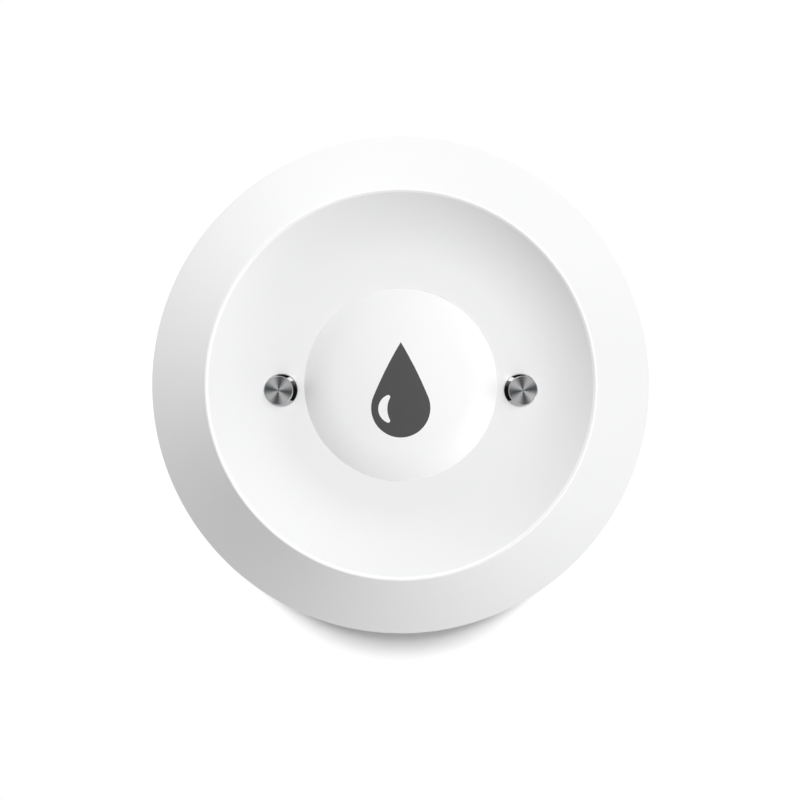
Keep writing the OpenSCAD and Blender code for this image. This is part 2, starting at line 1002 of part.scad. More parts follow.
module tact_switch() {
    color(chip_black)
        difference() {
            union() {
                translate([-switch_w / 2, -switch_w / 2, board_top])
                    cube([switch_w, switch_w, switch_top - board_top]);
                for (side = [-1, 1])
                    for (end = [-1, 1])
                        translate([
                            side * (switch_w + switch_leg_l) / 2 - switch_leg_l / 2,
                            end * switch_leg_y - switch_leg_w / 2,
                            board_top
                        ])
                            cube([switch_leg_l, switch_leg_w, switch_leg_t]);
            }
            translate([0, 0, switch_top - plunger_sink - plunger_room])
                cylinder(r = plunger_r + plunger_gap, h = plunger_sink + plunger_room + over);
        }
}

module tact_plunger() {
    color(chip_black)
        translate([0, 0, switch_top - plunger_sink])
            cylinder(r = plunger_r, h = plunger_top - switch_top + plunger_sink);
}

module status_led() {
    color([0.95, 0.93, 0.8])
        translate([-led_w / 2, -led_y - led_l / 2, board_top])
            cube([led_w, led_l, led_h]);
}

module chip_parts() {
    color(chip_black)
        for (side = [-1, 1]) {
            translate([side * chip_x - chip_w / 2, -chip_y - chip_w / 2, board_top])
                cube([chip_w, chip_w, chip_h]);
            for (i = [0 : bit_count - 1])
                rotate([0, 0, 90 - side * (90 - bit_first_angle - i * bit_step_angle)])
                    translate([bit_ring_r - bit_w / 2, -bit_l / 2, board_top])
                        cube([bit_w, bit_l, bit_h]);
        }
}

module radio_board() {
    color(board_green)
        translate([-radio_w / 2, radio_y - radio_l / 2, board_top])
            cube([radio_w, radio_l, radio_top - board_top]);
}

module radio_shield() {
    color(steel)
        translate([-shield_w / 2, shield_y - shield_l / 2, radio_top])
            cube([shield_w, shield_l, tall * shield_h]);
}

module battery_holder() {
    color(chip_black)
        difference() {
            band(holder_in_r, holder_out_r, holder_z, board_z);
            rotate([0, 0, leaf_turn])
                translate([0, -holder_window / 2, holder_z - over])
                    cube([body_r, holder_window, board_z - holder_z + 2 * over]);
        }
}

// A leaf from the board's underside that touches the side of the can
module positive_contact() {
    color(brass)
        rotate([0, 0, leaf_turn])
            translate([0, leaf_w / 2, 0])
                rotate([90, 0, 0])
                    linear_extrude(leaf_w)
                        polygon([
                            [leaf_foot_r, board_z],
                            [leaf_back_r, board_z],
                            [cell_r, leaf_touch_z],
                            [leaf_back_r - leaf_t, leaf_low_z],
                            [leaf_back_r, leaf_low_z],
                            [cell_r + leaf_t, leaf_touch_z],
                            [leaf_back_r + leaf_t, board_z - leaf_t],
                            [leaf_foot_r, board_z - leaf_t]
                        ]);
}

// A sprung arm from the board's underside that touches the cell's cap
module negative_contact() {
    color(brass)
        translate([0, spring_w / 2, 0])
            rotate([90, 0, 0])
                linear_extrude(spring_w)
                    polygon([
                        [-spring_foot_l, board_z],
                        [0, board_z],
                        [spring_arm_l, cell_top + leaf_t],
                        [spring_arm_l, cell_top],
                        [spring_arm_l - spring_pad_l, cell_top],
                        [0, board_z - leaf_t],
                        [-spring_foot_l, board_z - leaf_t]
                    ]);
}

module coin_cell() {
    color(steel)
        rotate_extrude()
            polygon([
                [0, cell_z],
                [cell_r - cell_break, cell_z],
                [cell_r, cell_z + cell_break],
                [cell_r, cell_top - cell_can_drop],
                [cell_cap_r + cell_seal_w, cell_top - cell_can_drop],
                [cell_cap_r + cell_seal_w, cell_top - cell_seal_drop],
                [cell_cap_r, cell_top - cell_seal_drop],
                [cell_cap_r, cell_top],
                [0, cell_top]
            ]);
}

top_shell();
base_shell();
case_gasket();
case_screws();
rubber_feet();
battery_door();
door_o_ring();
button_cap();
drop_mark();
button_seal();
top_probe_left();
top_probe_right();
probe_o_rings();
probe_standoffs();
floor_probes();
floor_probe_o_rings();
floor_probe_standoffs();
circuit_board();
board_screws();
tact_switch();
tact_plunger();
status_led();
chip_parts();
radio_board();
radio_shield();
battery_holder();
positive_contact();
negative_contact();
coin_cell();
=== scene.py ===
# %% [markdown]
# # A water leak sensor, from its solids to a picture
#
# The sensor is a white puck that lies on the floor. Water that drips on it gathers in a shallow dish
# round a push button, and two steel posts in the dish feel it. The solids come from the part's own CAD
# model, which is loaded here as a fixed frame in metres: Z points up out of the face with the button, and
# Y points to the tip of the drop on it. Blender adds what solids can't show, which is finish and light.

import math

import bmesh
import bpy
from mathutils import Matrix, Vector


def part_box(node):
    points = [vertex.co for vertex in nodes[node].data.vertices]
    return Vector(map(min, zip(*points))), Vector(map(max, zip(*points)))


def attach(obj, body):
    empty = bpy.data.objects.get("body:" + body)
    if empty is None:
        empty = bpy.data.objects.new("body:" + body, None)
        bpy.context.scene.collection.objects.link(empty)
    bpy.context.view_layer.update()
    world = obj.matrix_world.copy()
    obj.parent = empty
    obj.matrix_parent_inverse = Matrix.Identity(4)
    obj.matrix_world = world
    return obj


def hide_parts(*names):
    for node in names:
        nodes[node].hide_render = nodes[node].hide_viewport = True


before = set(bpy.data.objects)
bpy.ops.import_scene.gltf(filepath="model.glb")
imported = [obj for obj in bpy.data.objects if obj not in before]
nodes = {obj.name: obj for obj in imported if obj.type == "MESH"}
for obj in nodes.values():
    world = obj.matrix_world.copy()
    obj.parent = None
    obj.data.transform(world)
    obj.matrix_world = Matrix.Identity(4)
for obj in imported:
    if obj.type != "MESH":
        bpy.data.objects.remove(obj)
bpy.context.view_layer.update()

# %% [markdown]
# ## The camera
#
# The picture looks straight down on the middle of the sensor. How much larger the near things look than
# the far ones gives the distance: the rim edge, the button and the outer edge are all in proportion when
# a 50 mm lens hangs 150 mm above the floor. A camera that isn't turned looks down already, with Y up in
# the picture. A small shift of the lens places the sensor a little above the middle, and a hair to the
# right of it, without tilting it.

# %% Hang the camera
LENS_MM = 50
SENSOR_MM = 36
CAMERA_HEIGHT = 0.1502
PICTURE_PX = 800
SENSOR_UP_PX = 15.4
SENSOR_RIGHT_PX = 0.75
NEAREST_SEEN = 0.01


def add(operator, **settings):
    """Adds a camera, a lamp or a primitive with nothing else selected, and returns it."""
    bpy.ops.object.select_all(action="DESELECT")
    operator(**settings)
    return bpy.context.object


camera = add(bpy.ops.object.camera_add, location=(0, 0, CAMERA_HEIGHT), rotation=(0, 0, 0))
camera.name = "camera"
camera.data.lens = LENS_MM
camera.data.sensor_width = SENSOR_MM
camera.data.shift_x = -SENSOR_RIGHT_PX / PICTURE_PX
camera.data.shift_y = -SENSOR_UP_PX / PICTURE_PX
camera.data.clip_start = NEAREST_SEEN
bpy.context.scene.camera = camera
print("camera", CAMERA_HEIGHT, "m above the floor")

# %% [markdown]
# ## Writing finishes as sums
#
# A finish is a graph of nodes. Drawing that graph by hand hides the idea behind it, so this class lets a
# finish be written as arithmetic: every operator adds one Math node. All other nodes come from one
# method, which takes the node's type, its settings and the values or links of its sockets.


# %% A number that changes over a surface
class Varying:
    """One output socket of a graph, with the arithmetic of a number."""

    def __init__(self, graph, socket):
        self.graph = graph
        self.socket = socket

    def math(self, operation, first, second=0.0):
        return self.graph.node("Math", {"operation": operation}, {0: first, 1: second})

    def __add__(self, other):
        return self.math("ADD", self, other)

    def __sub__(self, other):
        return self.math("SUBTRACT", self, other)

    def __rsub__(self, other):
        return self.math("SUBTRACT", other, self)

    def __mul__(self, other):
        return self.math("MULTIPLY", self, other)

    def __truediv__(self, other):
        return self.math("DIVIDE", self, other)

    __radd__ = __add__
    __rmul__ = __mul__

    def sine(self):
        return self.math("SINE", self)

    def cosine(self):
        return self.math("COSINE", self)

    def absolute(self):
        return self.math("ABSOLUTE", self)

    def reach(self, other):
        """The distance from an axis, where these two are the coordinates across it."""
        return self.math("SQRT", self * self + other * other)

    def between(self, low, high):
        """0 below low, 1 above high, and a smooth step between them."""
        return self.graph.node(
            "MapRange",
            {"interpolation_type": "SMOOTHSTEP"},
            {"Value": self, "From Min": low, "From Max": high},
        )

    def past(self, edge, soft):
        """0 below an edge, 1 above it, and a smooth step across it."""
        return self.between(edge - soft, edge + soft)


# %% A graph of nodes
class Graph:
    """The nodes of a finish or of the sky."""

    def __init__(self, tree):
        self.tree = tree

    def node(self, kind, settings=None, sockets=None, output=0):
        made = self.tree.nodes.new("ShaderNode" + kind)
        for name, value in (settings or {}).items():
            setattr(made, name, value)
        for name, value in (sockets or {}).items():
            self.feed(made.inputs[name], value)
        return Varying(self, made.outputs[output])

    def feed(self, socket, value):
        if isinstance(value, Varying):
            self.tree.links.new(value.socket, socket)
        else:
            socket.default_value = value

    def seen(self):
        """1 for what the camera, a mirror or glass looks at, and 0 for the light that falls on things."""
        rays = ("Is Camera Ray", "Is Glossy Ray", "Is Transmission Ray")
        straight, mirrored, through = [self.node("LightPath", output=ray) for ray in rays]
        return straight + mirrored + through


# %% A finish
class Finish(Graph):
    """A material with one Principled shader, and the nodes that feed it."""

    def __init__(self, name, **constants):
        self.material = bpy.data.materials.new(name)
        self.material.use_nodes = True
        super().__init__(self.material.node_tree)
        self.shader = self.tree.nodes["Principled BSDF"]
        self.set(**constants)

    def set(self, **sockets):
        for name, value in sockets.items():
            self.feed(self.shader.inputs[name.replace("_", " ")], value)

    def millimetres(self, centre=(0, 0, 0)):
        """The place on the object in millimetres, counted from a centre that is given in metres."""
        place = self.node("TexCoord", output="Object")
        return self.node(
            "Mapping",
            {"vector_type": "POINT"},
            {
                "Vector": place,
                "Scale": (1000, 1000, 1000),
                "Location": [-1000 * c for c in centre],
            },
        )

    def axes(self, place):
        """The three coordinates of a place."""
        first = self.node("SeparateXYZ", None, {0: place})
        return [Varying(self, socket) for socket in first.socket.node.outputs]

    def noise(self, place, scale, detail=2.0):
        return self.node("TexNoise", None, {"Vector": place, "Scale": scale, "Detail": detail})

    def blend(self, share, first, second):
        """A colour that goes from the first to the second as the share goes from 0 to 1."""
        return self.node("Mix", {"data_type": "RGBA"}, {0: share, 6: first, 7: second}, 2)

    def bump(self, height, depth_mm, strength=1.0):
        self.set(
            Normal=self.node(
                "Bump", None, {"Height": height, "Distance": depth_mm / 1000, "Strength": strength}
            )
        )


def grey(level):
    return (level, level, level, 1.0)


print("finish tools ready")

# %% [markdown]
# ## Floor and daylight
#
# The sensor lies on a plain white floor. A white picture ground needs no extra light: the floor adds a
# little glow of its own that only the camera and mirrors see, so it comes out white and still keeps the
# shadow. The sky is an even soft light. Camera and mirrors see it as plain white too, as in a white room,
# so that metal shows the same ground as the picture.

# %% Lay the floor
FLOOR_WIDTH = 6
FLOOR_WHITE = 0.95
FLOOR_DRIFT = 0.005
FLOOR_GLOW = 0.05

floor = add(bpy.ops.mesh.primitive_plane_add, size=FLOOR_WIDTH, location=(0, 0, 0))
floor.name = "floor"
floor_finish = Finish("floor_white", Roughness=0.9, Specular_IOR_Level=0.1)
drift = floor_finish.noise(floor_finish.millimetres(), scale=0.05)
floor_finish.set(
    Base_Color=floor_finish.blend(drift, grey(FLOOR_WHITE - FLOOR_DRIFT), grey(FLOOR_WHITE + FLOOR_DRIFT)),
    Emission_Color=floor_finish.blend(floor_finish.seen(), grey(0), grey(FLOOR_GLOW)),
    Emission_Strength=1.0,
)
floor.data.materials.append(floor_finish.material)
print("floor", floor.dimensions[0], "m wide")

# %% Set the sky
SKY = 0.255

world = bpy.data.worlds.new("soft_sky")
bpy.context.scene.world = world
world.use_nodes = True
sky = Graph(world.node_tree)
backdrop = sky.tree.nodes["Background"]
level = sky.node("MapRange", None, {"Value": sky.seen(), "To Min": SKY, "To Max": 1.0})
sky.feed(backdrop.inputs["Strength"], level)
sky.feed(backdrop.inputs["Color"], grey(1))
print("sky strength", SKY)

# %% [markdown]
# ## Soft lamps, each with its own list
#
# In the picture every slope is bright but those that face the lower left, so no lamp stands there. A high
# lamp at the top does most of the work, and one almost overhead gives the posts their short shadows. One at
# the lower right and a low one at the top fill in the slopes on either side, and the button gets a little
# of its own from above: these three throw no shadows. Two suns light the floor alone, because a lamp that
# is strong enough for the shadow there would also throw long ones over the dish. Light linking does what
# flags and screens do in a studio: a lamp gets a list of the objects that it lights, or that stop its
# light. Metal mirrors the white room, but neither the high lamp nor the one overhead.

# %% Hang the lamps
LAMP_DISTANCE = 0.6


def hang(kind, name, turn, height, energy):
    """A lamp that looks at the sensor from a compass turn and a height above the floor, in radians."""
    aim = (
        math.cos(height) * math.cos(turn),
        math.cos(height) * math.sin(turn),
        math.sin(height),
    )
    lamp = add(
        bpy.ops.object.light_add,
        type=kind,
        location=[LAMP_DISTANCE * a for a in aim],
        rotation=(0, math.pi / 2 - height, turn),
    )
    lamp.name = name
    lamp.data.energy = energy / math.sin(height)
    print(name, round(lamp.data.energy, 2))
    return lamp


def soft_lamp(name, turn, height, share, size, shadow):
    """A square lamp. Its share is the light that it gives a level white surface."""
    energy = share * (math.pi * LAMP_DISTANCE) ** 2
    lamp = hang("AREA", name, math.radians(turn), math.radians(height), energy)
    lamp.data.size = size
    lamp.data.use_shadow = shadow
    return lamp


def sun(name, turn, height, share, width):
    """A sun of some degrees in width, which lights near and far alike."""
    lamp = hang("SUN", name, math.radians(turn), math.radians(height), share * math.pi)
    lamp.data.angle = math.radians(width)
    return lamp


def listing(name, state, *pieces):
    """A list for a lamp: only these pieces (INCLUDE) or all but these (EXCLUDE)."""
    group = bpy.data.collections.new(name)
    for piece in pieces:
        group.objects.link(piece)
    for entry in group.collection_objects:
        entry.light_linking.link_state = state
    return group


def link(lamp, state, *pieces):
    """Says which pieces the lamp lights."""
    lamp.light_linking.receiver_collection = listing(lamp.name + "_lights", state, *pieces)


button = (nodes["button_cap"], nodes["drop_mark"])
floor_high_sun = sun("floor_high_sun", turn=90, height=70, share=0.14, width=12)
floor_low_sun = sun("floor_low_sun", turn=90, height=38.2, share=0.605, width=7.5)
high_lamp = soft_lamp("high_lamp", turn=98, height=50, share=0.385, size=0.5, shadow=True)
top_lamp = soft_lamp("top_lamp", turn=45, height=77, share=0.11, size=0.1, shadow=True)
right_fill = soft_lamp("right_fill", turn=330, height=28, share=0.245, size=0.37, shadow=False)
low_fill = soft_lamp("low_fill", turn=110, height=16, share=0.064, size=0.25, shadow=False)
button_fill = soft_lamp("button_fill", turn=33, height=74, share=0.08, size=0.25, shadow=False)
link(floor_high_sun, "INCLUDE", floor)
link(floor_low_sun, "INCLUDE", floor)
link(high_lamp, "EXCLUDE", floor)
link(top_lamp, "EXCLUDE", floor)
link(right_fill, "EXCLUDE", floor)
link(low_fill, "EXCLUDE", floor, *button)
link(button_fill, "INCLUDE", *button)
for unmirrored in (high_lamp, top_lamp):
    unmirrored.visible_glossy = False

# %% [markdown]
# ## The shape of the shadow
#
# Under one lamp a round case throws a crescent along half of its edge. In the picture the shadow is a
# short lens at the bottom. The round circuit board is narrower than the case and lies higher, so the shadow
# of the board alone comes out below the case as such a lens. The low sun is therefore stopped by the board,
# and by a thin round card under the base, which keeps the floor below the sensor dark. No camera sees the
# card.

# %% Cut the shadow with a card
MM = 0.001
CARD_R, CARD_Z = 32.0 * MM, 0.5 * MM

card = add(
    bpy.ops.mesh.primitive_circle_add,
    vertices=96, radius=CARD_R, fill_type="NGON", location=(0, 0, CARD_Z),
)
card.name = "shadow_card"
card.visible_camera = card.visible_diffuse = card.visible_glossy = card.visible_transmission = False
floor_low_sun.light_linking.blocker_collection = listing(
    "floor_low_sun_shades", "INCLUDE", nodes["circuit_board"], card
)
print("card", round(2000 * CARD_R), "mm wide, under the base")

# %% [markdown]
# ## White moulded plastic
#
# The case, the battery door and the button are white plastic from one mould shop, with a fine satin
# texture that is etched into the mould. It could be painted flat, but a real moulding shows three things:
# a grain of about a tenth of a millimetre, gloss that varies a little with it, and a tone that drifts very
# slightly over the part. Grain and gloss come from one noise, the drift from a far wider one. The narrow
# rim edge of the top stands proud of everything, so hands polish it smoother, and a painted highlight
# makes it lighter, for the thin line of light along it.

# %% Mix the white plastic
CASE_WHITE = 0.86
BUTTON_WHITE = 0.91
RIM_HIGHLIGHT_WHITE = 0.97
RIM_EDGE_MM = 17.7
SATIN, GRAIN_GLOSS, POLISH = 0.42, 0.08, 0.12


def white_plastic(name, white, grain_mm, polished_and_highlit_above=None):
    """Satin plastic, smoother and with a lighter painted highlight above a height that is given in
    millimetres.
    """
    finish = Finish(name, Specular_IOR_Level=0.4)
    place = finish.millimetres()
    grain = finish.noise(place, scale=1 / grain_mm, detail=3.0)
    drift = finish.noise(place, scale=0.08)
    tone = finish.blend(drift, grey(white), (white - 0.012, white - 0.01, white - 0.006, 1))
    gloss = SATIN + GRAIN_GLOSS * grain
    if polished_and_highlit_above:
        # painted highlight: above this height the tone turns lighter, for the line of light on the rim
        # edge; it is also smoother
        edge = finish.axes(place)[2].past(polished_and_highlit_above, 0.03)
        tone = finish.blend(edge, tone, grey(RIM_HIGHLIGHT_WHITE))
        gloss = gloss - POLISH * edge
    finish.set(Base_Color=tone, Roughness=gloss)
    finish.bump(grain, depth_mm=0.004, strength=0.5)
    return finish.material


def dress(material, *names):
    """Gives a finish to some of the CAD nodes."""
    for name in names:
        nodes[name].data.materials.clear()
        nodes[name].data.materials.append(material)
    print(material.name, "on", ", ".join(names))


case_plastic = white_plastic("white_case_plastic", CASE_WHITE, grain_mm=0.12)
top_plastic = white_plastic("white_top_plastic", CASE_WHITE, grain_mm=0.12, polished_and_highlit_above=RIM_EDGE_MM)
button_plastic = white_plastic("white_button_plastic", BUTTON_WHITE, grain_mm=0.1)
dress(case_plastic, "base_shell", "battery_door")
dress(button_plastic, "button_cap")

# %% [markdown]
# ## The drop mark
#
# The dark drop is a second shot of plastic, let into the button so that it can't rub off, and the white
# glint in it is the button showing through. It is a soft dark grey with a fine tooth, a little duller
# than the white round it.

# %% Mix the grey of the mark
mark = Finish("mark_grey_plastic", Specular_IOR_Level=0.35)
place = mark.millimetres()
tooth = mark.noise(place, scale=9.0, detail=3.0)
cloud = mark.noise(place, scale=0.6)
mark.set(
    Base_Color=mark.blend(cloud, grey(0.056), grey(0.064)),
    Roughness=0.5 + 0.12 * tooth,
)
mark.bump(tooth, depth_mm=0.004, strength=0.5)
dress(mark.material, "drop_mark")

# %% [markdown]
# ## Silicone, rubber and nylon
#
# The seals are red silicone, the small O-rings black rubber, and the battery holder and the plunger of the
# switch black nylon. They have no pattern. What tells such a moulding from paint is that its tone and its
# gloss wander together in soft patches, over a fine tooth. One function mixes them all, and with a metal
# shader it also gives rolled brass, whose patches are tarnish.

# %% Mix the cloudy finishes
TEETH_PER_PATCH = 12


def cloudy(name, dull, bright, gloss, patch_mm, tooth_mm, **constants):
    """A moulding or rolled metal; gloss is the roughness of its dull and of its bright patches."""
    finish = Finish(name, **constants)
    place = finish.millimetres()
    cloud = finish.noise(place, scale=1 / patch_mm, detail=3.0)
    tooth = finish.noise(place, scale=TEETH_PER_PATCH / patch_mm)
    finish.set(
        Base_Color=finish.blend(cloud, dull, bright),
        Roughness=gloss[0] + (gloss[1] - gloss[0]) * cloud,
    )
    finish.bump(tooth, depth_mm=tooth_mm, strength=0.5)
    return finish.material


red_silicone = cloudy(
    "red_silicone", (0.44, 0.07, 0.045, 1), (0.56, 0.11, 0.07, 1),
    gloss=(0.4, 0.55), patch_mm=3, tooth_mm=0.01,
)
ring_rubber = cloudy(
    "ring_rubber", grey(0.014), grey(0.028), gloss=(0.45, 0.65), patch_mm=2, tooth_mm=0.008
)
black_nylon = cloudy(
    "black_nylon", grey(0.014), grey(0.026), gloss=(0.4, 0.55), patch_mm=1.5, tooth_mm=0.012
)
rolled_brass = cloudy(
    "rolled_brass", (0.5, 0.32, 0.11, 1), (0.78, 0.55, 0.23, 1),
    gloss=(0.22, 0.4), patch_mm=2.5, tooth_mm=0.003, Metallic=1.0,
)
dress(red_silicone, "case_gasket", "door_o_ring", "button_seal")
dress(ring_rubber, "probe_o_rings", "floor_probe_o_rings")
dress(black_nylon, "battery_holder", "tact_plunger")
dress(rolled_brass, "probe_standoffs", "floor_probe_standoffs", "positive_contact", "negative_contact")

# %% [markdown]
# ## Turned metal in a ring
#
# Screws, floor probes and the battery are round, and a lathe or a polishing wheel leaves fine rings about
# the axis of each. A node that holds three screws has three axes. Rather than three finishes, the place on
# the node is folded: its turn about the middle of the sensor wraps round so that every screw lands on the
# first one. The rings are a noise along the distance from that axis.

# %% Mix the ringed metals
ZINC = (0.4, 0.4, 0.42, 1), (0.64, 0.63, 0.6, 1)
RING_SHARE = 0.6
RUBBER_BLACK = grey(0.015)


def near_axis(finish, x, y, count, first_turn, ring_mm):
    """The place on a ring of like pieces, as counted from the axis of the nearest one."""
    turn = x.math("ARCTAN2", y, x) - math.radians(first_turn)
    nearest = finish.node(
        "Math", {"operation": "WRAP"}, {0: turn, 1: math.pi / count, 2: -math.pi / count}
    )
    reach = x.reach(y)
    return reach * nearest.cosine() - ring_mm, reach * nearest.sine()


def rings_along(finish, radius, scale):
    """Fine rings, as a noise along one coordinate."""
    return finish.node("TexNoise", {"noise_dimensions": "1D"}, {"W": radius, "Scale": scale, "Detail": 3.0})


def ringed(name, dull, bright, count, first_turn, ring_mm, seal=None):
    """Ringed metal; a seal is the inner and outer radius and the lowest height of a dark ring in it."""
    finish = Finish(name, Anisotropic=0.4)
    place = finish.millimetres()
    x, y, z = finish.axes(place)
    x, y = near_axis(finish, x, y, count, first_turn, ring_mm)
    radius = x.reach(y)
    rings = rings_along(finish, radius, scale=7.0)
    haze = finish.noise(place, scale=0.6, detail=3.0)
    tone = finish.blend(RING_SHARE * rings + (1 - RING_SHARE) * haze, dull, bright)
    metal, gloss = 1.0, 0.24 + 0.22 * haze
    if seal:
        inner, outer, foot = seal
        dark = radius.between(inner - 0.02, inner) * (1 - radius.between(outer, outer + 0.02))
        dark = dark * z.between(foot - 0.1, foot)
        tone, metal, gloss = finish.blend(dark, tone, RUBBER_BLACK), 1 - dark, gloss + 0.3 * dark
    finish.set(Base_Color=tone, Metallic=metal, Roughness=gloss)
    finish.bump(rings, depth_mm=0.004, strength=0.4)
    return finish.material


seal_foot = 1000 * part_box("coin_cell")[1].z - 0.5
dress(ringed("zinc_case_screws", *ZINC, count=3, first_turn=30, ring_mm=25.8), "case_screws")
dress(ringed("zinc_board_screws", *ZINC, count=8, first_turn=0, ring_mm=18.8), "board_screws")
dress(
    ringed("floor_probe_steel", grey(0.36), (0.68, 0.69, 0.7, 1), count=2, first_turn=0, ring_mm=21),
    "floor_probes",
)
dress(
    ringed(
        "nickel_cell", grey(0.5), (0.72, 0.71, 0.68, 1),
        count=1, first_turn=0, ring_mm=0, seal=(10.75, 11.05, seal_foot),
    ),
    "coin_cell",
)

# %% [markdown]
# ## The circuit board
#
# A board is glass fibre under a green varnish. Copper tracks lie below the varnish and show as slightly
# raised, lighter lines, vias are small tinned rings with a hole, and the sawn edge is bare yellow fibre.
# Lines come from the distance to the middle of a repeating cell. A wide noise chooses where they run one
# way and where the other, and a second one leaves bare patches, so the board doesn't look like graph paper.

# %% Mix the board
TIN = (0.66, 0.65, 0.61, 1)
VARNISH, VARNISHED_COPPER = (0.016, 0.12, 0.05, 1), (0.03, 0.2, 0.085, 1)
BARE_FIBRE = (0.45, 0.38, 0.2, 1)
TRACK_PITCH, TRACK_HALF = 0.8, 0.14
VIA_PITCH, VIA_R, VIA_HOLE_R = 2.4, 0.34, 0.16
SAWN_EDGE_R = 22.44


def from_cell_middle(value, pitch):
    """How far a coordinate is from the middle of its cell."""
    return (value.math("FRACT", value / pitch) - 0.5) * pitch


def track_line(value):
    """1 on the copper lines that cross a coordinate, and 0 between them."""
    return 1 - from_cell_middle(value, TRACK_PITCH).absolute().past(TRACK_HALF, 0.02)


def round_dot(x, y, radius):
    """1 inside a circle about the middle, and 0 outside."""
    return 1 - x.reach(y).past(radius, 0.03)


board = Finish("green_board", Specular_IOR_Level=0.5)
place = board.millimetres()
x, y, _ = board.axes(place)
way = board.noise(place, scale=0.24).past(0.5, 0.01)
track = way * track_line(x) + (1 - way) * track_line(y)
track = track * board.noise(place, scale=0.35).past(0.45, 0.01)
cell_x, cell_y = from_cell_middle(x, VIA_PITCH), from_cell_middle(y, VIA_PITCH)
pad = round_dot(cell_x, cell_y, VIA_R) * board.noise(place, scale=0.15).past(0.51, 0.01)
# painted shade: a via's hole is a near-black dot with a dent in the bump, not a cut
drilled = pad * round_dot(cell_x, cell_y, VIA_HOLE_R)
fibre = x.reach(y).past(SAWN_EDGE_R, 0.02)
tone = board.blend(track, VARNISH, VARNISHED_COPPER)
tone = board.blend(pad, tone, TIN)
tone = board.blend(drilled, tone, grey(0.01))
board.set(
    Base_Color=board.blend(fibre, tone, BARE_FIBRE),
    Metallic=pad - drilled,
    Roughness=0.32 + 0.08 * board.noise(place, scale=1.5) + 0.4 * fibre,
)
board.bump(0.5 * track + pad - 2 * drilled, depth_mm=0.03, strength=0.6)
dress(board.material, "circuit_board", "radio_board")

# %% [markdown]
# ## Parts on the board
#
# The radio sits under a tinned lid with rows of small holes. Chips are black epoxy with a dot at pin one.
# The bits beside them, the lamp and the legs of the switch have tinned ends for the solder. Each of these
# is one CAD node, so a mask made from the place says which part is tin.

# %% Mix the radio lid
LID_PITCH, LID_HOLE_R = 1.2, 0.24

lid_low, lid_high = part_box("radio_shield")
lid_middle = (lid_low + lid_high) / 2
lid_top = 1000 * (lid_high.z - lid_middle.z)
lid = Finish("tinned_lid", Metallic=1.0)
place = lid.millimetres(lid_middle)
x, y, z = lid.axes(place)
# painted shade: the holes are near-black dots with a dent in the bump, not cut through the lid
hole = round_dot(from_cell_middle(x, LID_PITCH), from_cell_middle(y, LID_PITCH), LID_HOLE_R)
hole = hole * z.between(lid_top - 0.05, lid_top - 0.02)
haze = lid.noise(place, scale=0.9, detail=3.0)
lid.set(
    Base_Color=lid.blend(hole, lid.blend(haze, grey(0.5), TIN), grey(0.012)),
    Roughness=0.24 + 0.2 * haze + 0.4 * hole,
)
lid.bump(haze - hole, depth_mm=0.02, strength=0.5)
dress(lid.material, "radio_shield")

# %% Mix the parts with tinned ends
CHIP_X, CHIP_Y, CHIP_DOT, CHIP_DOT_R = 9.0, -14.5, 1.7, 0.35
BIT_RING, BIT_BODY, BITS_ABOVE_Y = 15.2, 0.27, -11.9
SWITCH_BODY, LENS_BODY = 3.0, 0.54


def tin_ended(finish, place, tin, dull, bright, gloss, dot=None):
    """Sets a finish that is tin where the mask says so, and a cloudy moulding with a dot elsewhere."""
    cloud = finish.noise(place, scale=4.0, detail=3.0)
    tone = finish.blend(tin, finish.blend(cloud, dull, bright), TIN)
    if dot:
        tone = finish.blend(dot, tone, grey(0.1))
    finish.set(
        Base_Color=tone,
        Metallic=tin,
        Roughness=(gloss + 0.12 * cloud) * (1 - tin) + (0.2 + 0.2 * cloud) * tin,
    )
    finish.bump(cloud, depth_mm=0.01, strength=0.5)
    return finish.material


chip = Finish("chip_epoxy", Specular_IOR_Level=0.45)
place = chip.millimetres()
x, y, _ = chip.axes(place)
ends = (x.reach(y) - BIT_RING).absolute().past(BIT_BODY, 0.02) * y.past(BITS_ABOVE_Y, 0.02)
dot = round_dot(x.absolute() - (CHIP_X - CHIP_DOT), y - (CHIP_Y + CHIP_DOT), CHIP_DOT_R)
dress(tin_ended(chip, place, ends, grey(0.015), grey(0.024), gloss=0.45, dot=dot), "chip_parts")

switch = Finish("switch_nylon", Specular_IOR_Level=0.4)
place = switch.millimetres()
legs = switch.axes(place)[0].absolute().between(SWITCH_BODY, SWITCH_BODY + 0.03)
dress(tin_ended(switch, place, legs, grey(0.016), grey(0.028), gloss=0.4), "tact_switch")

lamp_lens = Finish("lamp_lens", Specular_IOR_Level=0.5)
place = lamp_lens.millimetres()
caps = lamp_lens.axes(place)[0].absolute().between(LENS_BODY, LENS_BODY + 0.03)
pale, paler = (0.76, 0.72, 0.54, 1), (0.86, 0.83, 0.68, 1)
dress(tin_ended(lamp_lens, place, caps, pale, paler, gloss=0.2), "status_led")

# %% [markdown]
# ## Modelling by hand, in code
#
# The next pieces are modelled as one would with a mouse: add a primitive, go into edit mode, pick some
# faces or edges, and extrude, inset or bevel them. Operators work on whatever is selected, so these
# helpers first leave one piece selected, and then pick its parts by where they are.

# %% Helpers that pick by place
TOUCH = 1e-6
LEVEL = 0.99
SMOOTH_BELOW = math.radians(35)


def alone(piece):
    bpy.ops.object.select_all(action="DESELECT")
    piece.select_set(True)
    bpy.context.view_layer.objects.active = piece


def pick(piece, kind, wanted):
    """In edit mode, selects only the faces or edges whose middle passes the test."""
    bpy.ops.mesh.select_mode(type=kind)
    bpy.ops.mesh.select_all(action="DESELECT")
    shape = bmesh.from_edit_mesh(piece.data)
    parts = shape.faces if kind == "FACE" else shape.edges
    for part in parts:
        middle = sum((corner.co for corner in part.verts), Vector()) / len(part.verts)
        if wanted(piece.matrix_world @ middle, part):
            part.select_set(True)
    shape.select_flush_mode()
    bmesh.update_edit_mesh(piece.data)


def looks_up(middle, face):
    return face.normal.z > LEVEL


def looks_down(middle, face):
    return face.normal.z < -LEVEL


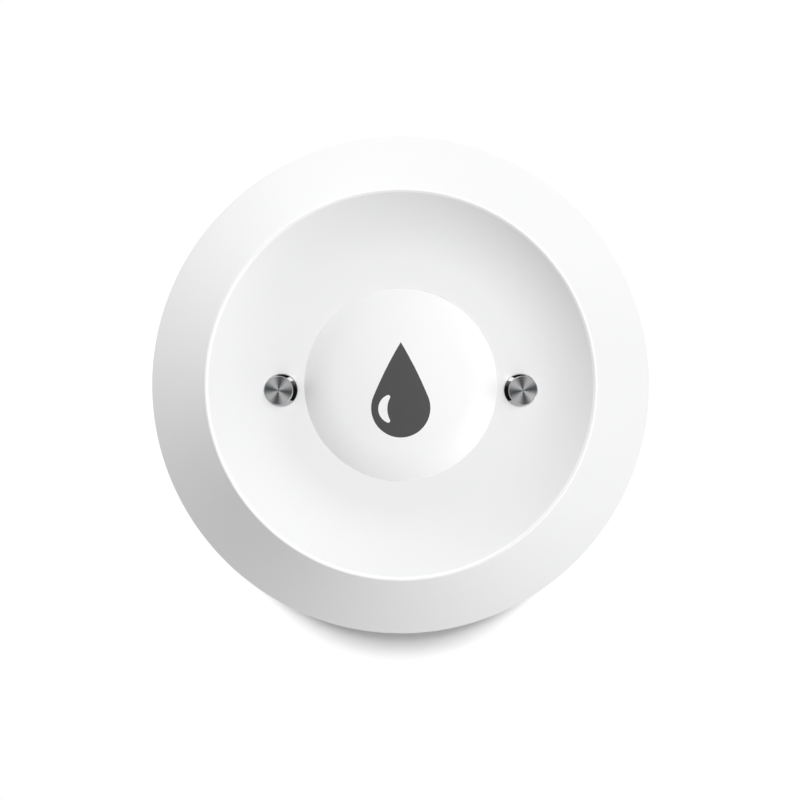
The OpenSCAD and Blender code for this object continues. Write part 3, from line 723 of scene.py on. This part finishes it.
def settle(piece, name, body, material):
    """Ends a piece: smooth faces, its place in its mesh, its finish and the body that it rides on."""
    alone(piece)
    bpy.ops.object.transform_apply(location=True, rotation=True, scale=True)
    bpy.ops.object.shade_smooth_by_angle(angle=SMOOTH_BELOW)
    piece.name = name
    piece.data.materials.clear()
    piece.data.materials.append(material)
    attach(piece, body)
    print(name, len(piece.data.polygons), "faces")


print("modelling helpers ready")

# %% [markdown]
# ## The top shell
#
# The top of the case is one moulding: an outer flare that hollows in a little, a rim edge with a fine
# rounding, and the shallow drip dish. The rim edge catches a thin line of light all round, so it has to be
# truly round: the CAD mesh is made of short straight steps that would show there as beads. A turned shape
# is best made as on a lathe. Its section is drawn as one closed line and then spun about the middle. The
# curves are all arcs that meet without a corner, so their middles are worked out first, in millimetres.

# %% Find the arcs of the section
BODY_R, RIM_R, HOLE_R, DISH_FLOOR_R = 32.5, 23.3, 11.765, 15.0
BODY_H, BAND_TOP, SHELL_FOOT, DISH_Z = 18.0, 5.0, 4.1, 14.9
FLARE_HOLLOW, RIM_ROUND, WALL, SEAM_BREAK = 0.5, 0.2, 2.0, 0.2


def lower_meet(first, first_r, second, second_r):
    """The lower of the two points where two circles cross."""
    line = second - first
    along = (line.length_squared + first_r**2 - second_r**2) / (2 * line.length)
    across = math.sqrt(first_r**2 - along**2)
    line.normalize()
    return first + along * line + across * Vector((line.y, -line.x))


dish_run, dish_depth = RIM_R - DISH_FLOOR_R, BODY_H - DISH_Z
dish_arc = (dish_run**2 + dish_depth**2) / (2 * dish_depth)
dish_mid = Vector((DISH_FLOOR_R, DISH_Z + dish_arc))
flare_foot, flare_edge = Vector((BODY_R, BAND_TOP)), Vector((RIM_R, BODY_H))
slope = flare_edge - flare_foot
flare_arc = (slope.length_squared / 4 + FLARE_HOLLOW**2) / (2 * FLARE_HOLLOW)
outward = Vector((slope.y, -slope.x)).normalized()
flare_mid = (flare_foot + flare_edge) / 2 + (flare_arc - FLARE_HOLLOW) * outward
rim_mid = lower_meet(dish_mid, dish_arc + RIM_ROUND, flare_mid, flare_arc + RIM_ROUND)
inner_meet = lower_meet(dish_mid, dish_arc + WALL, flare_mid, flare_arc + WALL)
print("rim rounding at", [round(c, 2) for c in rim_mid], "flare radius", round(flare_arc, 1))

# %% Draw the section
TONGUE_R0, TONGUE_R1, TONGUE_FOOT, LAND_R = 30.0, 31.0, 3.5, 29.9


def turn_to(middle, point):
    return math.atan2(point[1] - middle[1], point[0] - middle[0])


def arc(middle, radius, first, last, steps):
    turns = [first + (last - first) * i / steps for i in range(steps + 1)]
    return [(middle[0] + radius * math.cos(t), middle[1] + radius * math.sin(t)) for t in turns]


down = -math.pi / 2
inner_flare = flare_arc + WALL
land_z = flare_mid[1] - math.sqrt(inner_flare**2 - (flare_mid[0] - LAND_R) ** 2)
section = arc(dish_mid, dish_arc, down, turn_to(dish_mid, rim_mid), 28)
section += arc(rim_mid, RIM_ROUND, turn_to(rim_mid, dish_mid), turn_to(rim_mid, flare_mid), 12)
section += arc(flare_mid, flare_arc, turn_to(flare_mid, rim_mid), turn_to(flare_mid, flare_foot), 28)
section += [(BODY_R, SHELL_FOOT + SEAM_BREAK), (BODY_R - SEAM_BREAK, SHELL_FOOT)]
section += [(TONGUE_R1, SHELL_FOOT), (TONGUE_R1, TONGUE_FOOT)]
section += [(TONGUE_R0, TONGUE_FOOT), (TONGUE_R0, SHELL_FOOT), (LAND_R, SHELL_FOOT)]
land = (LAND_R, land_z)
section += arc(flare_mid, inner_flare, turn_to(flare_mid, land), turn_to(flare_mid, inner_meet), 12)
section += arc(dish_mid, dish_arc + WALL, turn_to(dish_mid, inner_meet), down, 12)
section += [(HOLE_R, DISH_Z - WALL), (HOLE_R, DISH_Z)]
print("section of", len(section), "points")

# %% Spin it
SHELL_STEPS = 384


def spun(points, steps):
    """A closed line of points, given as radius and height in millimetres, spun round the upright axis."""
    start = (points[0][0] * MM, 0, points[0][1] * MM)
    piece = add(bpy.ops.mesh.primitive_plane_add, size=MM, location=start)
    bpy.ops.object.mode_set(mode="EDIT")
    bpy.ops.mesh.select_mode(type="VERT")
    bpy.ops.mesh.merge(type="CENTER")
    for here, there in zip(points, points[1:] + points[:1]):
        step = ((there[0] - here[0]) * MM, 0, (there[1] - here[1]) * MM)
        bpy.ops.mesh.extrude_region_move(TRANSFORM_OT_translate={"value": step})
    bpy.ops.mesh.select_all(action="SELECT")
    bpy.ops.mesh.remove_doubles(threshold=TOUCH)
    bpy.ops.mesh.spin(steps=steps, angle=2 * math.pi, center=(0, 0, 0), axis=(0, 0, 1))
    bpy.ops.mesh.select_all(action="SELECT")
    bpy.ops.mesh.remove_doubles(threshold=TOUCH)
    bpy.ops.mesh.normals_make_consistent(inside=False)
    bpy.ops.object.mode_set(mode="OBJECT")
    return piece


shell = spun(section, SHELL_STEPS)
print("shell", len(shell.data.polygons), "faces")

# %% [markdown]
# Each post stands in a round seat with a hole for its shank. A stepped pin with the shape of both is the
# cutter: a cylinder whose bottom face is set in and pulled down. A Boolean modifier takes it away from the
# shell. On the inside the shell also has three bosses that the case screws bite into, and two rails that
# keep the button from turning. Each kind is made in a loop, and all of them are joined on.

# %% Cut the seats of the posts
SEAT_R, SHANK_HOLE_R = 2.05 * MM, 1.3 * MM
SEAT_Z, SEAT_REACH, SHANK_REACH = 14.14 * MM, 2 * MM, 2.2 * MM

post_low, post_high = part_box("top_probe_left")
right_low, right_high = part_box("top_probe_right")
post_x = (post_low.x + post_high.x) / 2
post_y = (post_low.y + post_high.y) / 2
right_x = (right_low.x + right_high.x) / 2


def stepped_pin(x, y, z, radius, length, pin_r, pin_length, vertices):
    """A cylinder that stands on a height, with a thinner pin below it."""
    piece = add(
        bpy.ops.mesh.primitive_cylinder_add,
        vertices=vertices, radius=radius, depth=length, location=(x, y, z + length / 2),
    )
    bpy.ops.object.mode_set(mode="EDIT")
    pick(piece, "FACE", looks_down)
    bpy.ops.mesh.inset(thickness=radius - pin_r)
    bpy.ops.mesh.extrude_region_move(TRANSFORM_OT_translate={"value": (0, 0, -pin_length)})
    bpy.ops.object.mode_set(mode="OBJECT")
    return piece


for x in (post_x, right_x):
    cutter = stepped_pin(x, post_y, SEAT_Z, SEAT_R, SEAT_REACH, SHANK_HOLE_R, SHANK_REACH, 96)
    alone(shell)
    cut = shell.modifiers.new("seat", "BOOLEAN")
    cut.operation = "DIFFERENCE"
    cut.solver = "EXACT"
    cut.object = cutter
    bpy.ops.object.modifier_apply(modifier=cut.name)
    alone(cutter)
    bpy.ops.object.delete()
print("seats cut,", len(shell.data.polygons), "faces")

# %% Join the bosses and the rails on
BOSS_R, PILOT_R, BOSS_RING_R = 2.7 * MM, 1.3 * MM, 25.8 * MM
BOSS_FOOT, BOSS_TOP, PILOT_TOP = 3.8 * MM, 8.5 * MM, 7.5 * MM
BOSS_TURNS = (30, 150, 270)
RAIL_X, RAIL_Y, RAIL_Z = 2.0 * MM, -13.675 * MM, 12.4 * MM
RAIL_SIZE, RAIL_BREAK = (1.0 * MM, 1.85 * MM, 3.0 * MM), 0.15 * MM

inside = []
for turn in BOSS_TURNS:
    turn = math.radians(turn)
    x, y = BOSS_RING_R * math.cos(turn), BOSS_RING_R * math.sin(turn)
    inside.append(
        stepped_pin(x, y, BOSS_FOOT, BOSS_R, BOSS_TOP - BOSS_FOOT, PILOT_R, BOSS_FOOT - PILOT_TOP, 64)
    )
for side in (-1, 1):
    rail = add(bpy.ops.mesh.primitive_cube_add, size=1, location=(side * RAIL_X, RAIL_Y, RAIL_Z))
    bpy.ops.transform.resize(value=RAIL_SIZE)
    bpy.ops.object.transform_apply(location=False, rotation=False, scale=True)
    bpy.ops.object.mode_set(mode="EDIT")
    pick(rail, "EDGE", lambda middle, edge: middle.z < RAIL_Z - RAIL_SIZE[2] / 2 + TOUCH)
    bpy.ops.mesh.bevel(offset=RAIL_BREAK, segments=2, affect="EDGES")
    bpy.ops.object.mode_set(mode="OBJECT")
    inside.append(rail)
alone(shell)
for piece in inside:
    piece.select_set(True)
bpy.ops.object.join()
settle(shell, "white_top", "case", top_plastic)
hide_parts("top_shell")

# %% [markdown]
# ## The steel probe posts
#
# Each post is turned from bar: a shank that goes down through the dish, a foot that stands in a shallow
# seat, and a slightly tapered head with a broken edge. A cylinder is tapered by shrinking its top face,
# after a cut has kept the foot straight, and the shank is the bottom face set in and pulled down. The two
# posts are the same shape, so the second is a copy with its own mesh.

# %% Turn one post
POST_TOP_R, POST_SHANK_R = 1.75 * MM, 1.25 * MM
POST_SEAT, POST_BREAK = 14.7 * MM, 0.12 * MM

post_foot_r = (post_high.x - post_low.x) / 2
shrink = POST_TOP_R / post_foot_r

left_post = add(
    bpy.ops.mesh.primitive_cylinder_add,
    vertices=128,
    radius=post_foot_r,
    depth=post_high.z - POST_SEAT,
    location=(post_x, post_y, (post_high.z + POST_SEAT) / 2),
)
bpy.ops.object.mode_set(mode="EDIT")
bpy.ops.mesh.select_all(action="SELECT")
bpy.ops.mesh.bisect(plane_co=(post_x, post_y, DISH_Z * MM), plane_no=(0, 0, 1))
pick(left_post, "FACE", looks_up)
bpy.ops.transform.resize(value=(shrink, shrink, 1), center_override=(post_x, post_y, post_high.z))
pick(left_post, "EDGE", lambda middle, edge: middle.z > post_high.z - TOUCH)
bpy.ops.mesh.bevel(offset=POST_BREAK, segments=4, affect="EDGES")
pick(left_post, "FACE", looks_down)
bpy.ops.mesh.inset(thickness=post_foot_r - POST_SHANK_R)
bpy.ops.mesh.extrude_region_move(TRANSFORM_OT_translate={"value": (0, 0, post_low.z - POST_SEAT)})
bpy.ops.object.mode_set(mode="OBJECT")
print("post", round(1000 * post_high.z, 2), "mm to its top")

# %% [markdown]
# ## Turned steel
#
# The face of a post is cut on a lathe, so it carries fine rings. Its four bright and four dark fans that
# meet in the middle are painted reflections: anisotropy gives such fans only from strong lamps, so the grey
# itself swings four times round the face, mirrored on the other post. The side of the head is painted with
# its reflections too: black in two bands on the half that looks at the button, a painted white gleam
# between them, a painted sheen on part of the black, and mid grey steel behind them. The high lamp shines
# past the posts, whose shadows from it would be far broader than in the picture.

# %% Mix the steel of a post
FACE_EDGE_R = 1.62
FANS, FAN_TURN, WARM_TURN = 4.0, math.radians(35), math.radians(80)
DARK_FANS = (0.062, 0.07, 0.073, 1), (0.071, 0.069, 0.077, 1)
BRIGHT_FANS = (0.37, 0.37, 0.375, 1), (0.42, 0.42, 0.42, 1)
DARK_REFLECTION_BANDS = (-42, 38), (56, 104)
GLEAM_BAND, UNSHEENED_BAND = (30, 64), (46, 120)
SHEEN_FROM, SHEEN_TO = math.radians(8), math.radians(40)
BARE_STEEL, GLEAM_WHITE = (0.36, 0.36, 0.37, 1), grey(0.95)


def turned_steel(name, centre, toward_button):
    """Steel with its own middle, whose turn is counted from the side that looks at the button."""
    finish = Finish(name, Anisotropic=0.5, Anisotropic_Rotation=0.25, Specular_IOR_Level=0.0)
    x, y, z = finish.axes(finish.millimetres(centre))
    x = x * toward_button
    radius = x.reach(y)
    turn = x.math("ARCTAN2", y, x)

    def band(first, last):
        return turn.past(math.radians(first), 0.04) * (1 - turn.past(math.radians(last), 0.04))

    rings = rings_along(finish, radius, scale=9.0)
    # painted reflection: the grey of the face swings four times round it, for the fans that strong lamps
    # would give
    fan = 0.5 - 0.5 * ((turn - FAN_TURN) * FANS).cosine()
    warm = 0.5 + 0.5 * ((turn - WARM_TURN) * 2.0).cosine()
    fan = fan.math("POWER", fan, 1.1) + 0.7 * (rings - 0.5)
    face = finish.blend(fan, finish.blend(warm, *BRIGHT_FANS), finish.blend(warm, *DARK_FANS))
    face = finish.blend(0.6 * radius.between(FACE_EDGE_R, FACE_EDGE_R + 0.06), face, grey(0.4))

    # painted reflection on the side: two black bands, a painted white gleam between them and a painted
    # sheen on part of the black
    black = band(*DARK_REFLECTION_BANDS[0]) + band(*DARK_REFLECTION_BANDS[1])
    dark_reflection_tone = finish.blend(rings_along(finish, z, scale=1.3).between(0.4, 0.7), grey(0.001), grey(0.025))
    sheen = turn.between(SHEEN_FROM, SHEEN_TO) * (1 - band(*UNSHEENED_BAND))
    dark_reflection_tone = finish.blend(sheen, dark_reflection_tone, grey(0.13))
    side = finish.blend(black, finish.blend(band(*GLEAM_BAND), BARE_STEEL, GLEAM_WHITE), dark_reflection_tone)
    head = z.between(-0.16, -0.08)
    finish.set(
        Base_Color=finish.blend(head, side, face),
        Metallic=1 - black * (1 - head),
        Roughness=0.3 + 0.15 * rings,
    )
    finish.bump(rings, depth_mm=0.004, strength=0.3)
    return finish.material


alone(left_post)
bpy.ops.object.duplicate()
right_post = bpy.context.object
right_post.location.x += right_x - post_x
settle(
    left_post, "left_post", "case",
    turned_steel("turned_steel_left", (post_x, post_y, post_high.z), 1),
)
settle(
    right_post, "right_post", "case",
    turned_steel("turned_steel_right", (right_x, post_y, post_high.z), -1),
)
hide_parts("top_probe_left")
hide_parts("top_probe_right")
high_lamp.light_linking.blocker_collection = listing("high_lamp_shades", "EXCLUDE", left_post, right_post)

# %% [markdown]
# ## The rubber feet
#
# Three soft feet keep the sensor from sliding and lift it by a millimetre, so that water can reach the
# floor probes. A foot is a short disc with a rounded lower edge and a groove moulded into its sole, which
# lets it grip. One foot is modelled: the lower edge is bevelled, and the groove is a ring between two
# insets that is pushed up into the rubber. The other two are copies, moved round the middle of the sensor.

# %% Mould one foot
FOOT_R, FOOT_TOP, FOOT_RING_R = 4.0 * MM, 1.6 * MM, 24.5 * MM
FOOT_ROUND, SOLE_LAND, GROOVE_W, GROOVE_DEPTH = 0.4 * MM, 0.9 * MM, 0.6 * MM, 0.25 * MM
FOOT_TURNS = (120, 240)

foot = add(
    bpy.ops.mesh.primitive_cylinder_add,
    vertices=96, radius=FOOT_R, depth=FOOT_TOP, location=(0, FOOT_RING_R, FOOT_TOP / 2),
)
sole_middle = Vector((0, FOOT_RING_R, 0))
groove_out_r = FOOT_R - FOOT_ROUND - SOLE_LAND


def in_groove(middle, face):
    return looks_down(middle, face) and groove_out_r > (middle - sole_middle).length > GROOVE_W


bpy.ops.object.mode_set(mode="EDIT")
pick(foot, "EDGE", lambda middle, edge: middle.z < TOUCH)
bpy.ops.mesh.bevel(offset=FOOT_ROUND, segments=5, affect="EDGES")
pick(foot, "FACE", looks_down)
bpy.ops.mesh.inset(thickness=SOLE_LAND)
bpy.ops.mesh.inset(thickness=GROOVE_W)
pick(foot, "FACE", in_groove)
bpy.ops.mesh.extrude_region_move(TRANSFORM_OT_translate={"value": (0, 0, GROOVE_DEPTH)})
bpy.ops.object.mode_set(mode="OBJECT")
print("foot", len(foot.data.polygons), "faces")

# %% Copy the foot
feet_rubber = cloudy(
    "feet_rubber", grey(0.012), grey(0.032),
    gloss=(0.6, 0.8), patch_mm=1.5, tooth_mm=0.02, Specular_IOR_Level=0.35,
)
feet = [foot]
for turn in FOOT_TURNS:
    turn = math.radians(turn)
    alone(foot)
    bpy.ops.object.duplicate()
    copy = bpy.context.object
    copy.location = (-FOOT_RING_R * math.sin(turn), FOOT_RING_R * math.cos(turn), foot.location.z)
    feet.append(copy)
for number, piece in enumerate(feet, 1):
    settle(piece, "foot_" + str(number), "case", feet_rubber)
    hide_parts("rubber_feet")

# %% [markdown]
# ## The view transform
#
# The picture is drawn through the Standard view transform.

# %% Set the view transform
bpy.context.scene.view_settings.view_transform = "Standard"
